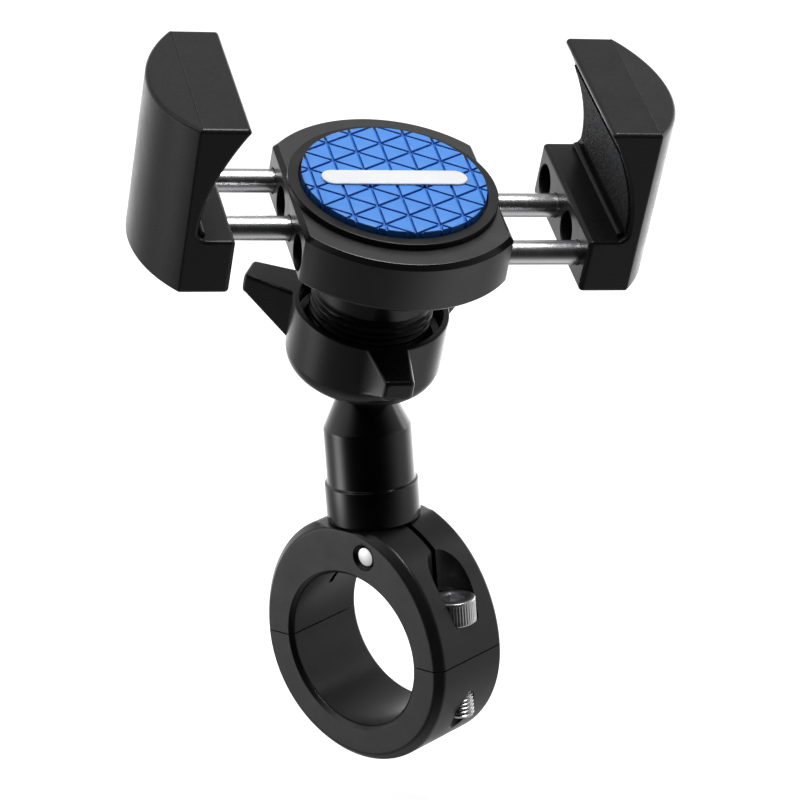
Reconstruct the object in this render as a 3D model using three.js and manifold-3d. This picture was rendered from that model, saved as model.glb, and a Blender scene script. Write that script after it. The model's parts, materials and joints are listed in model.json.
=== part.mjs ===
// Phone handlebar mount, assembled, in millimetres, +Z up.
// The origin is on the clamp's back face, below the bore. +X runs along the handlebar and out of that face,
// and the post stands on +Z.
// The holder leans on its ball joint and both of its jaws stand part way open.
import * as THREE from "three";
import { mergeVertices } from "three/addons/utils/BufferGeometryUtils.js";
import Module from "manifold-3d";

const wasm = await Module();
wasm.setup();

// Clamp: two halves round the handlebar.
const BORE_R = 16; // 32 mm (1 1/4 inch) handlebar
const CLAMP_WIDTH = 20; // along the handlebar
const CLAMP_R = 23.5; // lower half and sides
const CLAMP_CROWN = 27.2; // the upper half rises to this height above the bore centre before the flat
const SEAT_Z = 25.4; // flat on top of the upper half
const OUTER_CHAMFER = 1.5;
const BORE_CHAMFER = 0.8;
const PARTING_GAP = 0.1; // air between the halves at the parting plane
const SLIT_WIDTH = 1.4; // saw cut that lets the upper half close on the post
const SLIT_BOTTOM_Z = 8.7;
const FACE_POINT_Z = -19.3; // the origin's place on the back face, from the centre of the bore

// Clamp screws, M5 socket heads in open pockets.
const SCREW_Y = 19.6;
const SCREW_R = 2.5;
const SCREW_HOLE_R = 2.7;
const SCREW_HEAD_R = 4.25;
const SCREW_HEAD_H = 5;
const SCREW_SEAT_Z = 7;
const SCREW_TIP_Z = -13;
const POCKET_R = 4.6;
const TAPPED_HOLE_END_Z = -18;

// Pinch screw, M4, across the slit beside the post stem.
const PINCH_Y = -5.5;
const PINCH_Z = 20.7;
const PINCH_R = 2;
const PINCH_HEAD_R = 3.5;
const PINCH_HEAD_H = 4;
const PINCH_HEAD_X = 5.6;
const PINCH_TIP_X = -9.4;

// Post with its ball.
const STEM_R = 5;
const STEM_BOTTOM_Z = 16.8;
const GROOVE_R = 3.2;
const POST_BOTTOM_Z = 25.5;
const POST_COLLAR_R = 9.35;
const POST_STEP_Z = 33.3;
const POST_R = 8.75;
const CONE_Z = 44.6;
const NECK_R = 5.2;
const BALL_R = 8.5;
const BALL_Z = 58.7;

// How the holder leans: the way it leans, how far, and its turn about its own axis.
const LEAN_TOWARDS_DEG = -104.7;
const LEAN_DEG = 22.9;
const HOLDER_TURN_DEG = 69.6;
const BALL_TO_FACE = 39.1; // ball centre to the top face of the housing

// Holder housing. In the holder's own frame X runs from jaw to jaw, Z is up through the pad,
// and Z = 0 is the top face of the housing.
const HOUSING_R = 25.6;
const HOUSING_HALF_WIDTH = 20.1; // between the two flats
const HOUSING_T = 10.5;
const HOUSING_CHAMFER = 0.7;
const ROD_PITCH = 8;
const ROD_Z = -6.1;
const ROD_R = 2.35;
const GUIDE_R = 2.6;
const SPRING_BORE_R = 3.5;
const GUIDE_LENGTH = 8; // from the flat to the spring shoulder
const FIT = 0.05; // air between two flat faces that touch

// Pad in the middle of the holder.
const CARRIER_R = 20.2;
const CARRIER_H = 1.3;
const PAD_R = 17.75;
const PAD_TOP = 2.5;
const PAD_FLOOR = 0.5;
const TRIANGLE_SIDE = 6.1;
const GROOVE_W = 0.5;
const GROOVE_D = 0.45;
const PAD_EDGE = 0.3; // step round the rim
const SMALLEST_CELL = 2; // mm2; smaller scraps at the rim are left out
const BAR_LENGTH = 28.5;
const BAR_WIDTH = 4.6;
const BAR_RISE = 0.45;

// Socket, ball seats, compression ring and locking collar on the back of the housing.
const SOCKET_NECK_R = 12.1;
const SOCKET_THREAD_TOP = -22.8;
const SOCKET_THREAD_R = 12.5;
const SOCKET_THREAD_END = -32;
const FINGER_R = 10.9;
const FINGER_END = -41;
const CAVITY_R = 9.65;
const SLOTS = 6;
const SLOT_W = 1.2;
const SEAT_INNER_R = 8.62;
const SEAT_OUTER_R = 9.45;
const COLLAR_R = 15.35;
const COLLAR_TOP = -26.6;
const COLLAR_BOTTOM = -42.2;
const COLLAR_ROUND = 4;
const COLLAR_BORE_R = 12.85;
const COLLAR_RECESS_R = 14.2; // wider mouth round the neck
const COLLAR_RECESS_DEPTH = 5;
const COLLAR_MOUTH_R = 9.3;
const WING_REACH = 25.4;
const WING_ROOT_HALF = 4.5;
const WING_TIP_HALF = 3;
const WING_TIP_H = 4;
const WING_ROOT_H = 10.5;

// Jaws. They are built with their inner face at X = 0, the body going to +X.
const LEFT_OPENING = 33.4; // housing centre to the inner face of the left jaw
const RIGHT_OPENING = 34.6;
const JAW_HALF_LENGTH = 17.2;
const JAW_TOP = 23.8;
const JAW_BOTTOM = -11.7;
const JAW_FLAT = 9.5; // depth of the ends of the jaw
const JAW_BULGE = 6.8; // how far the curved back stands out from the ends
const JAW_BACK_FALL = 0.8; // how far the top falls away over the curved back
const JAW_FLOOR = -0.2; // top of the base block
const HOLLOW_DEPTH = 7.3;
const ROD_SOCKET_DEPTH = 7;
const CLEARANCE_DEPTH = 5.5;
const LINER_T = 1;
const LINER_RISE = 0.4; // how far the liner stands out of the hollow

// Rods, springs and stops.
const ROD_END = 9; // where the rod ends, past the housing centre, as the jaws stand
const STOP_AT = 5; // face of the spring stop, past the housing centre
const STOP_T = 1.4;
const STOP_R = 3.2;
const SPRING_R = 2.95;
const SPRING_WIRE_R = 0.33;
const SPRING_TURNS = 7;
const GRUB_R = 1.5;

// ---------------------------------------------------------------- solids

function solid(geometry) {
  geometry.deleteAttribute("normal");
  geometry.deleteAttribute("uv");
  const merged = mergeVertices(geometry, 1e-4);
  return new wasm.Manifold(new wasm.Mesh({
    numProp: 3,
    vertProperties: new Float32Array(merged.attributes.position.array),
    triVerts: new Uint32Array(merged.index.array),
  }));
}

function join(parts) {
  return parts.reduce((a, b) => a.add(b));
}

function cut(body, parts) {
  return parts.reduce((a, b) => a.subtract(b), body);
}

function geometryOf(made) {
  const mesh = made.getMesh();
  const count = mesh.numVert, stride = mesh.numProp;
  const positions = new Float32Array(count * 3);
  for (let i = 0; i < count; i++) {
    for (let k = 0; k < 3; k++) positions[i * 3 + k] = mesh.vertProperties[i * stride + k];
  }
  const geometry = new THREE.BufferGeometry();
  geometry.setAttribute("position", new THREE.BufferAttribute(positions, 3));
  geometry.setIndex(new THREE.BufferAttribute(new Uint32Array(mesh.triVerts), 1));
  return geometry;
}

// A turned piece about Z. The profile runs upwards, from the axis back to the axis, or closes on itself.
function turned(profile, segments = 48) {
  const points = profile.map(([r, z]) => new THREE.Vector2(r, z));
  const geometry = new THREE.LatheGeometry(points, segments);
  geometry.rotateX(Math.PI / 2);
  return solid(geometry);
}

function rod(r, z0, z1, segments = 32, chamfer = 0) {
  const c = chamfer;
  const profile = c > 0
    ? [[0, z0], [r - c, z0], [r, z0 + c], [r, z1 - c], [r - c, z1], [0, z1]]
    : [[0, z0], [r, z0], [r, z1], [0, z1]];
  return turned(profile, segments);
}

function block(x0, x1, y0, y1, z0, z1) {
  const geometry = new THREE.BoxGeometry(x1 - x0, y1 - y0, z1 - z0);
  geometry.translate((x0 + x1) / 2, (y0 + y1) / 2, (z0 + z1) / 2);
  return solid(geometry);
}

// A flat outline in XY, given height from z0 to z1.
function prism(points, z0, z1) {
  const shape = new THREE.Shape(points.map(([x, y]) => new THREE.Vector2(x, y)));
  const geometry = new THREE.ExtrudeGeometry(shape, { depth: z1 - z0, bevelEnabled: false });
  geometry.translate(0, 0, z0);
  return solid(geometry);
}

// Skins a body between sections with the same number of points; the ends are convex.
function loft(sections) {
  const n = sections[0].length;
  const positions = [];
  const push = (a, b, c) => [a, b, c].forEach((p) => positions.push(p[0], p[1], p[2]));
  for (let s = 0; s + 1 < sections.length; s++) {
    const lower = sections[s], upper = sections[s + 1];
    for (let i = 0; i < n; i++) {
      const j = (i + 1) % n;
      push(lower[i], lower[j], upper[j]);
      push(lower[i], upper[j], upper[i]);
    }
  }
  const first = sections[0], last = sections[sections.length - 1];
  for (let i = 1; i + 1 < n; i++) {
    push(first[0], first[i + 1], first[i]);
    push(last[0], last[i], last[i + 1]);
  }
  const geometry = new THREE.BufferGeometry();
  geometry.setAttribute("position", new THREE.Float32BufferAttribute(positions, 3));
  return solid(geometry);
}

const alongX = (made) => made.rotate([0, 90, 0]);

// A hexagonal key socket, width across flats af, going down from z1.
function hexSocket(af, z0, z1) {
  return rod(af / Math.sqrt(3), z0, z1, 6);
}

// ---------------------------------------------------------------- clamp

// The clamp's outline seen along the handlebar: round below, taller above, flat under the post.
function clampOutline(x, inset) {
  const points = [];
  const steps = 72;
  for (let i = 0; i < steps; i++) {
    const a = (i / steps) * 2 * Math.PI;
    const rise = Math.sin(a) > 0 ? CLAMP_CROWN : CLAMP_R;
    const y = (CLAMP_R - inset) * Math.cos(a);
    const z = Math.min((rise - inset) * Math.sin(a), SEAT_Z);
    points.push([x, y, z]);
  }
  return points;
}

function clampBody() {
  const half = CLAMP_WIDTH / 2;
  const body = loft([
    clampOutline(-half, OUTER_CHAMFER),
    clampOutline(-half + OUTER_CHAMFER, 0),
    clampOutline(half - OUTER_CHAMFER, 0),
    clampOutline(half, OUTER_CHAMFER),
  ]);
  const mouth = half + 1, land = half - BORE_CHAMFER, wide = BORE_R + BORE_CHAMFER + 1;
  const bore = alongX(turned([
    [0, -mouth], [wide, -mouth], [BORE_R, -land], [BORE_R, land], [wide, mouth], [0, mouth],
  ], 72));
  return body.subtract(bore);
}

function upperHalf() {
  const cuts = [
    block(-30, 30, -40, 40, -40, PARTING_GAP / 2),
    rod(STEM_R + 0.2, BORE_R - 3, SEAT_Z + 5, 40),
    block(-SLIT_WIDTH / 2, SLIT_WIDTH / 2, -40, 40, SLIT_BOTTOM_Z, 40),
  ];
  for (const y of [-SCREW_Y, SCREW_Y]) {
    cuts.push(rod(SCREW_HOLE_R, -5, SCREW_SEAT_Z + 1, 28).translate([0, y, 0]));
    cuts.push(rod(POCKET_R, SCREW_SEAT_Z, 40, 40).translate([0, y, 0]));
  }
  const half = CLAMP_WIDTH / 2;
  const at = [0, PINCH_Y, PINCH_Z];
  cuts.push(alongX(rod(PINCH_R + 0.2, -half - 2, half, 24)).translate(at));
  cuts.push(alongX(turned([[0, -half - 1], [PINCH_R + 1.6, -half - 1], [PINCH_R + 0.1, -half + 0.5],
    [0, -half + 0.5]], 24)).translate(at));
  cuts.push(alongX(rod(PINCH_HEAD_R + 0.3, PINCH_HEAD_X, half + 2, 32)).translate(at));
  return cut(clampBody(), cuts);
}

function lowerHalf() {
  const cuts = [block(-30, 30, -40, 40, -PARTING_GAP / 2, 40)];
  for (const y of [-SCREW_Y, SCREW_Y]) {
    cuts.push(rod(SCREW_HOLE_R, TAPPED_HOLE_END_Z, 5, 28).translate([0, y, 0]));
  }
  return cut(clampBody(), cuts);
}

// A socket head screw standing on its seat at z = 0, the shank going down.
function capScrew(headR, headH, r, length, af) {
  const body = turned([
    [0, -length], [r - 0.5, -length], [r, -length + 0.5], [r, 0.02], [headR, 0.02],
    [headR, headH - 0.4], [headR - 0.4, headH], [0, headH],
  ], 24);
  return body.subtract(hexSocket(af, headH * 0.45, headH + 1));
}

// ---------------------------------------------------------------- post

function ballPost() {
  const neckZ = BALL_Z - Math.sqrt(BALL_R ** 2 - NECK_R ** 2);
  const profile = [
    [0, STEM_BOTTOM_Z], [STEM_R - 0.6, STEM_BOTTOM_Z], [STEM_R, STEM_BOTTOM_Z + 0.6],
    [STEM_R, PINCH_Z - 2.6], [GROOVE_R, PINCH_Z - 2.3], [GROOVE_R, PINCH_Z + 2.3], [STEM_R, PINCH_Z + 2.6],
    [STEM_R, POST_BOTTOM_Z], [POST_COLLAR_R - 0.4, POST_BOTTOM_Z], [POST_COLLAR_R, POST_BOTTOM_Z + 0.4],
    [POST_COLLAR_R, POST_STEP_Z - 0.6], [POST_COLLAR_R - 0.35, POST_STEP_Z], [POST_R, POST_STEP_Z],
    [POST_R, CONE_Z - 0.4], [POST_R - 0.15, CONE_Z],
  ];
  const start = Math.asin((neckZ - BALL_Z) / BALL_R);
  const steps = 11;
  for (let i = 0; i <= steps; i++) {
    const a = start + (i / steps) * (Math.PI / 2 - start);
    profile.push([i === steps ? 0 : BALL_R * Math.cos(a), BALL_Z + BALL_R * Math.sin(a)]);
  }
  return turned(profile, 40);
}

// ---------------------------------------------------------------- housing

// Positions of the four channels across the holder; the left jaw's rods are first and third.
const channelY = (i) => (1.5 - i) * ROD_PITCH;
const LEFT_CHANNELS = [0, 2];
const RIGHT_CHANNELS = [1, 3];

function housingOutline(z, inset) {
  const points = [];
  const r = HOUSING_R - inset, w = HOUSING_HALF_WIDTH - inset;
  const corner = Math.acos(w / r);
  const steps = 22;
  for (const side of [1, -1]) {
    for (let i = 0; i <= steps; i++) {
      const a = corner + (i / steps) * (Math.PI - 2 * corner);
      points.push([side * r * Math.cos(a), side * r * Math.sin(a), z]);
    }
  }
  return points;
}

function housing() {
  const body = loft([
    housingOutline(-HOUSING_T, HOUSING_CHAMFER), housingOutline(-HOUSING_T + HOUSING_CHAMFER, 0),
    housingOutline(-HOUSING_CHAMFER, 0), housingOutline(0, HOUSING_CHAMFER),
  ]);
  const cuts = [];
  const shoulder = HOUSING_HALF_WIDTH - GUIDE_LENGTH;
  const add = (i, side) => {
    const at = [0, channelY(i), ROD_Z];
    const wide = side > 0 ? [-shoulder, 30] : [-30, shoulder];
    cuts.push(alongX(rod(GUIDE_R, -30, 30, 24)).translate(at));
    cuts.push(alongX(rod(SPRING_BORE_R, wide[0], wide[1], 28)).translate(at));
  };
  LEFT_CHANNELS.forEach((i) => add(i, 1));
  RIGHT_CHANNELS.forEach((i) => add(i, -1));
  return cut(body, cuts);
}

// ---------------------------------------------------------------- pad

function padCarrier() {
  const lip = PAD_R + 0.25;
  return turned([
    [0, FIT], [CARRIER_R, FIT], [CARRIER_R, CARRIER_H - 0.3], [CARRIER_R - 0.3, CARRIER_H],
    [lip, CARRIER_H], [lip, PAD_FLOOR - FIT], [0, PAD_FLOOR - FIT],
  ], 48);
}

function rounded(length, width, z0, z1) {
  const r = width / 2, half = length / 2 - r;
  const points = [];
  for (const side of [1, -1]) {
    for (let i = 0; i <= 8; i++) {
      const a = -Math.PI / 2 + (i / 8) * Math.PI;
      points.push([side * (half + r * Math.cos(a)), side * r * Math.sin(a)]);
    }
  }
  return prism(points, z0, z1);
}

// The raised triangles of the pad, with grooves between them.
function triangleCells() {
  const side = TRIANGLE_SIDE, row = (side * Math.sqrt(3)) / 2;
  const shrink = 1 - (GROOVE_W / 2) / (side / (2 * Math.sqrt(3)));
  const face = rod(PAD_R - PAD_EDGE, PAD_TOP - 2 * GROOVE_D, PAD_TOP, 64);
  const cells = [];
  for (let i = -4; i < 4; i++) {
    for (let j = -4; j <= 4; j++) {
      for (const [base, apex] of [[i, i + 1], [i + 1, i]]) {
        const y = (j + (base & 1) / 2) * side;
        const corners = [[base * row, y], [base * row, y + side], [apex * row, y + side / 2]];
        const cx = (2 * base + apex) * row / 3, cy = y + side / 2;
        const inset = corners.map(([px, py]) => [cx + (px - cx) * shrink, cy + (py - cy) * shrink]);
        if (apex < base) inset.reverse();
        const cell = prism(inset, PAD_TOP - 2 * GROOVE_D, PAD_TOP).intersect(face);
        if (!cell.isEmpty() && cell.volume() > SMALLEST_CELL * GROOVE_D) cells.push(cell);
      }
    }
  }
  return cells;
}

function gripPad() {
  const body = rod(PAD_R, PAD_FLOOR, PAD_TOP - GROOVE_D, 64);
  return join([body, ...triangleCells()]);
}

function padBar() {
  return rounded(BAR_LENGTH, BAR_WIDTH, PAD_TOP + FIT, PAD_TOP + BAR_RISE);
}

// ---------------------------------------------------------------- ball joint

function sphereArc(r, from, to, steps) {
  const points = [];
  for (let i = 0; i <= steps; i++) {
    const a = THREE.MathUtils.degToRad(from + (i / steps) * (to - from));
    points.push([Math.max(0, r * Math.cos(a)), -BALL_TO_FACE + r * Math.sin(a)]);
  }
  return points;
}

function socketPiece() {
  const top = -HOUSING_T - FIT;
  const rings = [];
  for (let z = SOCKET_THREAD_END + 0.9; z < SOCKET_THREAD_TOP - 0.2; z += 2.4) {
    rings.push([SOCKET_THREAD_R - 0.5, z - 0.8], [SOCKET_THREAD_R, z - 0.3], [SOCKET_THREAD_R, z + 0.3],
      [SOCKET_THREAD_R - 0.5, z + 0.8]);
  }
  const low = Math.asin((FINGER_END + BALL_TO_FACE) / CAVITY_R) * 180 / Math.PI;
  const cavity = sphereArc(CAVITY_R, low, 90, 9).reverse();
  const body = turned([
    ...cavity,
    [FINGER_R - 0.5, FINGER_END], [FINGER_R, FINGER_END + 0.5], [FINGER_R, SOCKET_THREAD_END - 1],
    [SOCKET_THREAD_R - 0.7, SOCKET_THREAD_END],
    ...rings, [SOCKET_NECK_R, SOCKET_THREAD_TOP], [SOCKET_NECK_R, top], [0, top],
  ], 36);
  const cuts = [];
  for (let i = 0; i < SLOTS; i++) {
    cuts.push(block(0, 20, -SLOT_W / 2, SLOT_W / 2, -50, -34).rotate([0, 0, (i * 360) / SLOTS]));
  }
  return cut(body, cuts);
}

// The upper seat is a cup over the ball, the lower seat a band round its middle.
function ballSeat(from, to, steps) {
  const outer = sphereArc(SEAT_OUTER_R, from, to, steps);
  const inner = sphereArc(SEAT_INNER_R, from, to, steps).reverse();
  if (to === 90) {
    outer[outer.length - 1][0] = 0;
    inner[0][0] = 0;
    return turned([...inner, ...outer], 28);
  }
  return turned([...outer, ...inner, outer[0]], 28);
}

function compressionRing() {
  const inner = FINGER_R + 0.25, outer = COLLAR_BORE_R - 0.45;
  return turned([
    [inner, -40.6], [outer - 0.8, -40.6], [outer, -39.8], [outer, -35.4], [inner, -35.4], [inner, -40.6],
  ], 32);
}

function wing(angle) {
  const root = COLLAR_R - 2;
  const plan = (x, half, z0, z1) => [[x, -half, z0], [x, half, z0], [x, half, z1], [x, -half, z1]];
  const top = COLLAR_TOP;
  return loft([
    plan(root, WING_ROOT_HALF, top - WING_ROOT_H - 0.8, top),
    plan(WING_REACH - 0.4, WING_TIP_HALF + 0.1, top - WING_TIP_H - 0.2, top),
    plan(WING_REACH, WING_TIP_HALF - 0.3, top - WING_TIP_H + 0.4, top - 0.4),
  ]).rotate([0, 0, angle]);
}

function lockingCollar() {
  const outside = [[COLLAR_MOUTH_R, COLLAR_BOTTOM], [COLLAR_R - COLLAR_ROUND, COLLAR_BOTTOM]];
  for (let i = 1; i <= 5; i++) {
    const a = -Math.PI / 2 + (i / 5) * (Math.PI / 2);
    outside.push([COLLAR_R - COLLAR_ROUND + COLLAR_ROUND * Math.cos(a),
      COLLAR_BOTTOM + COLLAR_ROUND + COLLAR_ROUND * Math.sin(a)]);
  }
  const outer = turned([[0, COLLAR_BOTTOM], ...outside.slice(1),
    [COLLAR_R, COLLAR_TOP - 0.5], [COLLAR_R - 0.5, COLLAR_TOP], [0, COLLAR_TOP]], 48);
  const body = join([outer, wing(-90), wing(30), wing(150)]);
  const inside = turned([
    [0, COLLAR_BOTTOM - 1], [COLLAR_MOUTH_R, COLLAR_BOTTOM - 1], [COLLAR_MOUTH_R, -41.3], [11.6, -41.3],
    [12.6, -40.3], [COLLAR_BORE_R, -34], [COLLAR_BORE_R, COLLAR_TOP - COLLAR_RECESS_DEPTH - 0.6],
    [COLLAR_RECESS_R, COLLAR_TOP - COLLAR_RECESS_DEPTH], [COLLAR_RECESS_R, COLLAR_TOP + 1], [0, COLLAR_TOP + 1],
  ], 48);
  return body.subtract(inside);
}

// ---------------------------------------------------------------- jaws

function jawOutline() {
  const l = JAW_HALF_LENGTH, b = JAW_BULGE;
  const r = (l * l + b * b) / (2 * b);
  const reach = Math.asin(l / r);
  const points = [[0, -l]];
  for (let i = 0; i <= 20; i++) {
    const a = -reach + (i / 20) * 2 * reach;
    points.push([JAW_FLAT + b - r + r * Math.cos(a), r * Math.sin(a)]);
  }
  points.push([0, l]);
  return points;
}

// The hollow of the jaw seen along its length: distance in from the inner face, and height.
function hollow(depth, floor) {
  const bottom = 1.6, top = JAW_TOP - 0.8;
  const points = [[0, top]];
  for (let i = 1; i <= 10; i++) {
    const t = i / 10;
    const z = top + (bottom - top) * t;
    points.push([depth * Math.pow(Math.sin((t * Math.PI) / 2), 0.9), z]);
  }
  points.push([depth - 0.5, floor + 0.6], [depth - 1.6, floor]);
  return points;
}

const sideways = (made) => made.rotate([90, 0, 0]);

function jaw(rodChannels, holeChannels, mirror) {
  const body = prism(jawOutline(), JAW_BOTTOM, JAW_TOP);
  const l = JAW_HALF_LENGTH;
  const opening = [...hollow(HOLLOW_DEPTH, JAW_FLOOR), [-2, JAW_FLOOR], [-2, JAW_TOP - 0.8]].reverse();
  const far = JAW_FLAT + 2 * JAW_BULGE;
  const fall = [[JAW_FLAT, JAW_TOP], [far, JAW_TOP - 2 * JAW_BACK_FALL], [far, JAW_TOP + 1], [JAW_FLAT, JAW_TOP + 1]];
  const cuts = [sideways(prism(opening, -l - 2, l + 2)), sideways(prism(fall, -l - 2, l + 2))];
  const recess = [...hollow(HOLLOW_DEPTH + LINER_T + 0.1, JAW_FLOOR).slice(2, 11)];
  cuts.push(sideways(prism([[0, 2.4], ...recess.reverse(), [0, 19.8]], -l + 1.2, l - 1.2)));
  for (const i of rodChannels) {
    cuts.push(alongX(rod(ROD_R + 0.15, -1, ROD_SOCKET_DEPTH, 24)).translate([0, mirror * channelY(i), ROD_Z]));
    cuts.push(rod(GRUB_R + 0.15, JAW_BOTTOM - 1, ROD_Z, 16).translate([3.6, mirror * channelY(i), 0]));
  }
  for (const i of holeChannels) {
    cuts.push(alongX(rod(SPRING_BORE_R, -1, CLEARANCE_DEPTH, 28)).translate([0, mirror * channelY(i), ROD_Z]));
  }
  return cut(body, cuts);
}

function jawLiner() {
  const l = JAW_HALF_LENGTH - 1.5;
  const back = hollow(HOLLOW_DEPTH + LINER_T - 0.05, JAW_FLOOR).slice(2, 10);
  const front = hollow(HOLLOW_DEPTH - LINER_RISE, JAW_FLOOR).slice(2, 10).reverse();
  return sideways(prism([...front, ...back], -l, l));
}

function grubScrew() {
  return cut(rod(GRUB_R, JAW_BOTTOM + 0.4, ROD_Z - ROD_R - 0.15, 14),
    [hexSocket(1.5, JAW_BOTTOM, JAW_BOTTOM + 1.7)]);
}

// A rod measured from the housing centre along +X: it ends at -end and reaches out to the jaw.
function guideRod(opening) {
  return alongX(rod(ROD_R, -ROD_END, opening + ROD_SOCKET_DEPTH - 0.4, 20, 0.4));
}

function springStop() {
  return alongX(turned([[ROD_R + 0.2, 0], [STOP_R, 0], [STOP_R, STOP_T], [ROD_R + 0.2, STOP_T],
    [ROD_R + 0.2, 0]], 18)).translate([-STOP_AT - STOP_T, 0, 0]);
}

function springCoil() {
  const from = -STOP_AT + 0.45, to = HOUSING_HALF_WIDTH - GUIDE_LENGTH - 0.45;
  const steps = SPRING_TURNS * 9, sides = 5;
  const sections = [];
  for (let s = 0; s <= steps; s++) {
    const a = (s / 9) * 2 * Math.PI;
    const x = from + (to - from) * (s / steps);
    const ring = [];
    for (let k = 0; k < sides; k++) {
      const b = -(k / sides) * 2 * Math.PI;
      const r = SPRING_R + SPRING_WIRE_R * Math.cos(b);
      ring.push([x + SPRING_WIRE_R * Math.sin(b), r * Math.cos(a), r * Math.sin(a)]);
    }
    sections.push(ring);
  }
  return loft(sections);
}

// ---------------------------------------------------------------- assembly

const BLACK_METAL = { color: 0x2b2c2e, roughness: 0.42, metalness: 0.75 };
const GREY_METAL = { color: 0x55575a, roughness: 0.4, metalness: 0.7 };
const STEEL = { color: 0xc4c6c8, roughness: 0.2, metalness: 1 };
const SPRING_STEEL = { color: 0x8f9194, roughness: 0.3, metalness: 1 };
const BLACK_PLASTIC = { color: 0x1d1e1f, roughness: 0.38, metalness: 0 };
const JAW_PLASTIC = { color: 0x232425, roughness: 0.45, metalness: 0 };
const RUBBER = { color: 0x141414, roughness: 0.9, metalness: 0 };
const PALE_PLASTIC = { color: 0xd9d6cc, roughness: 0.5, metalness: 0 };
const BLUE_RUBBER = { color: 0x5aa2ee, roughness: 0.6, metalness: 0 };
const WHITE_RUBBER = { color: 0xf4f4f4, roughness: 0.6, metalness: 0 };

function mesh(name, made, finish) {
  const piece = new THREE.Mesh(geometryOf(made), new THREE.MeshStandardMaterial(finish));
  piece.name = name;
  return piece;
}

function clampAndPost() {
  const group = new THREE.Group();
  const screw = () => capScrew(SCREW_HEAD_R, SCREW_HEAD_H, SCREW_R, SCREW_SEAT_Z - SCREW_TIP_Z, 4);
  const pinch = capScrew(PINCH_HEAD_R, PINCH_HEAD_H, PINCH_R, PINCH_HEAD_X - PINCH_TIP_X, 3);
  group.add(
    mesh("clamp_upper_half", upperHalf(), BLACK_METAL),
    mesh("clamp_lower_half", lowerHalf(), BLACK_METAL),
    mesh("clamp_screw_left", screw().translate([0, SCREW_Y, SCREW_SEAT_Z]), STEEL),
    mesh("clamp_screw_right", screw().translate([0, -SCREW_Y, SCREW_SEAT_Z]), STEEL),
    mesh("pinch_screw", alongX(pinch).translate([PINCH_HEAD_X, PINCH_Y, PINCH_Z]), STEEL),
    mesh("ball_post", ballPost(), BLACK_METAL),
  );
  return group;
}

function jawSide(name, side, opening, rodChannels, holeChannels) {
  const group = new THREE.Group();
  const turn = side > 0 ? 0 : 180;
  const place = (made) => made.rotate([0, 0, turn]);
  group.add(
    mesh(name + "_jaw", place(jaw(rodChannels, holeChannels, side).translate([opening, 0, 0])), JAW_PLASTIC),
    mesh(name + "_jaw_liner", place(jawLiner().translate([opening, 0, 0])), RUBBER),
  );
  rodChannels.forEach((i, k) => {
    const at = [0, side * channelY(i), ROD_Z];
    const tag = name + "_" + (k + 1);
    group.add(
      mesh("rod_" + tag, place(guideRod(opening).translate(at)), STEEL),
      mesh("spring_stop_" + tag, place(springStop().translate(at)), STEEL),
      mesh("spring_" + tag, place(springCoil().translate(at)), SPRING_STEEL),
      mesh("grub_screw_" + tag, place(grubScrew().translate([opening + 3.6, side * channelY(i), 0])),
        BLACK_METAL),
    );
  });
  return group;
}

function holder() {
  const group = new THREE.Group();
  group.add(
    mesh("holder_housing", housing(), GREY_METAL),
    mesh("pad_carrier", padCarrier(), BLACK_PLASTIC),
    mesh("grip_pad", gripPad(), BLUE_RUBBER),
    mesh("pad_bar", padBar(), WHITE_RUBBER),
    mesh("ball_socket", socketPiece(), BLACK_METAL),
    mesh("ball_seat_upper", ballSeat(25, 90, 6), PALE_PLASTIC),
    mesh("ball_seat_lower", ballSeat(-9, 11, 3), PALE_PLASTIC),
    mesh("compression_ring", compressionRing(), PALE_PLASTIC),
    mesh("locking_collar", lockingCollar(), BLACK_PLASTIC),
    jawSide("left", -1, LEFT_OPENING, LEFT_CHANNELS, RIGHT_CHANNELS),
    jawSide("right", 1, RIGHT_OPENING, RIGHT_CHANNELS, LEFT_CHANNELS),
  );
  // Lean about the ball centre, which the holder's frame has at -BALL_TO_FACE.
  const turn = new THREE.Quaternion();
  const axis = (x, y, z, deg) =>
    new THREE.Quaternion().setFromAxisAngle(new THREE.Vector3(x, y, z), THREE.MathUtils.degToRad(deg));
  turn.multiply(axis(0, 0, 1, LEAN_TOWARDS_DEG)).multiply(axis(0, 1, 0, LEAN_DEG))
    .multiply(axis(0, 0, 1, HOLDER_TURN_DEG));
  group.quaternion.copy(turn);
  group.position.copy(new THREE.Vector3(0, 0, BALL_TO_FACE).applyQuaternion(turn))
    .add(new THREE.Vector3(0, 0, BALL_Z));
  return group;
}

// Everything above is placed from the centre of the bore, so it moves over to the origin here.
const placed = new THREE.Group();
placed.position.set(-CLAMP_WIDTH / 2, 0, -FACE_POINT_Z);
placed.add(clampAndPost(), holder());

const mount = new THREE.Group();
mount.name = "phone_handlebar_mount";
mount.add(placed);
export default mount;
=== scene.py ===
# Looks for the phone handlebar mount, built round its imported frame.
import json
import math

import bmesh
import bpy
from mathutils import Matrix, Vector, noise


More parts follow.
